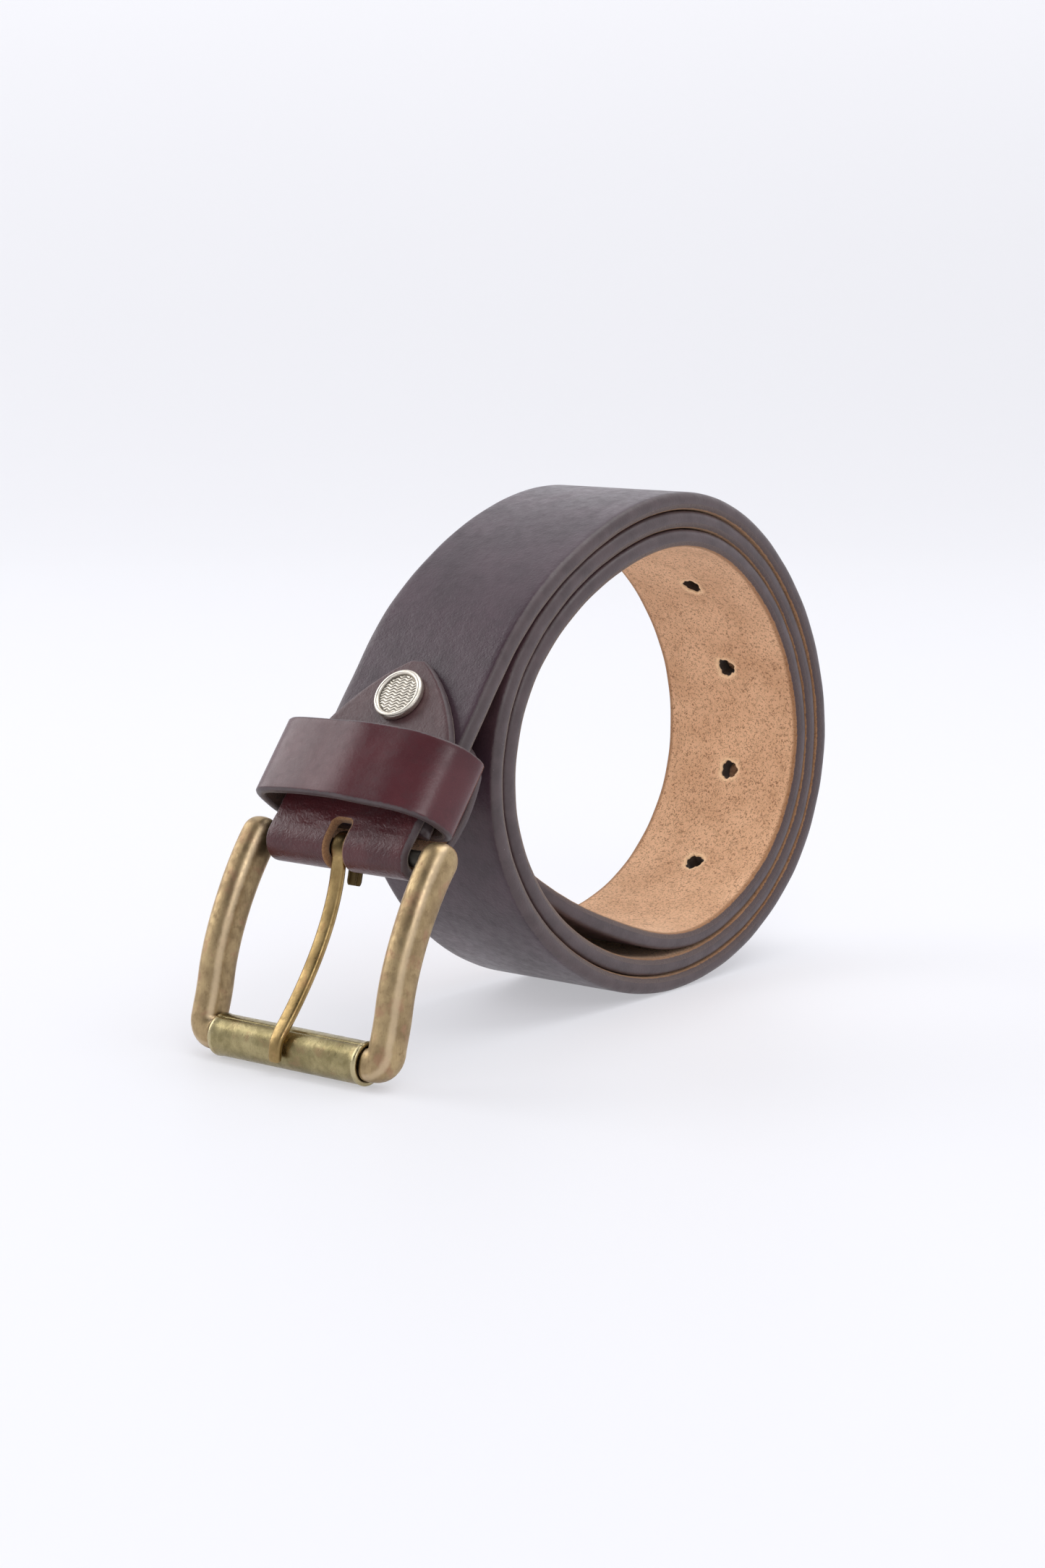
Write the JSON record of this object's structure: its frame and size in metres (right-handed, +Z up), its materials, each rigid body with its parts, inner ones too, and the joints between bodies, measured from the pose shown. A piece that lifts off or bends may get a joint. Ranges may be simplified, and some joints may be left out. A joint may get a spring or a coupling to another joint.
{
  "type": "leather belt",
  "caption": "Coiled leather strap with prong holes, a folded buckle tab, a sliding keeper loop, and a brass roller buckle whose frame, prong and roller turn.",
  "frame": {"origin": "on the ground, under the middle of the coiled belt's box", "axes": "+X from the buckle towards the roll, +Y across the strap, +Z up; the roll and the buckle's roller both stand on Z = 0"},
  "size_m": [0.1754, 0.0562, 0.113],
  "materials": {
    "strap_leather": "dark brown full grain, satin, with painted edges and a tan flesh side",
    "chape_leather": "maroon, polished",
    "keeper_leather": "maroon, polished",
    "frame_brass": "antique brass, worn on its high places",
    "roller_brass": "antique brass",
    "prong_brass": "antique brass, worn on its edges",
    "bar_steel": "dark plated steel",
    "cap_nickel": "aged nickel",
    "post_nickel": "nickel plated",
    "staple_steel": "bright wire"
  },
  "bodies": {
    "strap": {"strap": "strap_leather", "chape": "chape_leather", "rivet_cap": "cap_nickel", "rivet_post": "post_nickel"},
    "frame": {"buckle_frame": "frame_brass", "heel_bar": "bar_steel"},
    "roller": {"roller": "roller_brass"},
    "prong": {"prong": "prong_brass"},
    "keeper": {"keeper_loop": "keeper_leather", "keeper_staple": "staple_steel"}
  },
  "joints": [
    {"name": "frame_swing", "type": "hinge", "parent": "strap", "child": "frame", "pos_m": [-0.06424, 0, 0.0439], "axis": [0, 1, 0], "range_deg": [-60, 35]},
    {"name": "prong_swing", "type": "hinge", "parent": "frame", "child": "prong", "pos_m": [-0.06424, 0, 0.0439], "axis": [0, 1, 0], "range_deg": [0, 85]},
    {"name": "roller_spin", "type": "hinge", "parent": "frame", "child": "roller", "pos_m": [-0.08114, 0, 0.0046], "axis": [0, 1, 0], "continuous": true},
    {"name": "keeper_slide", "type": "slide", "parent": "strap", "child": "keeper", "axis": [0.6129, 0, 0.7902], "range_m": [-0.0008, 0.0018]}
  ]
}
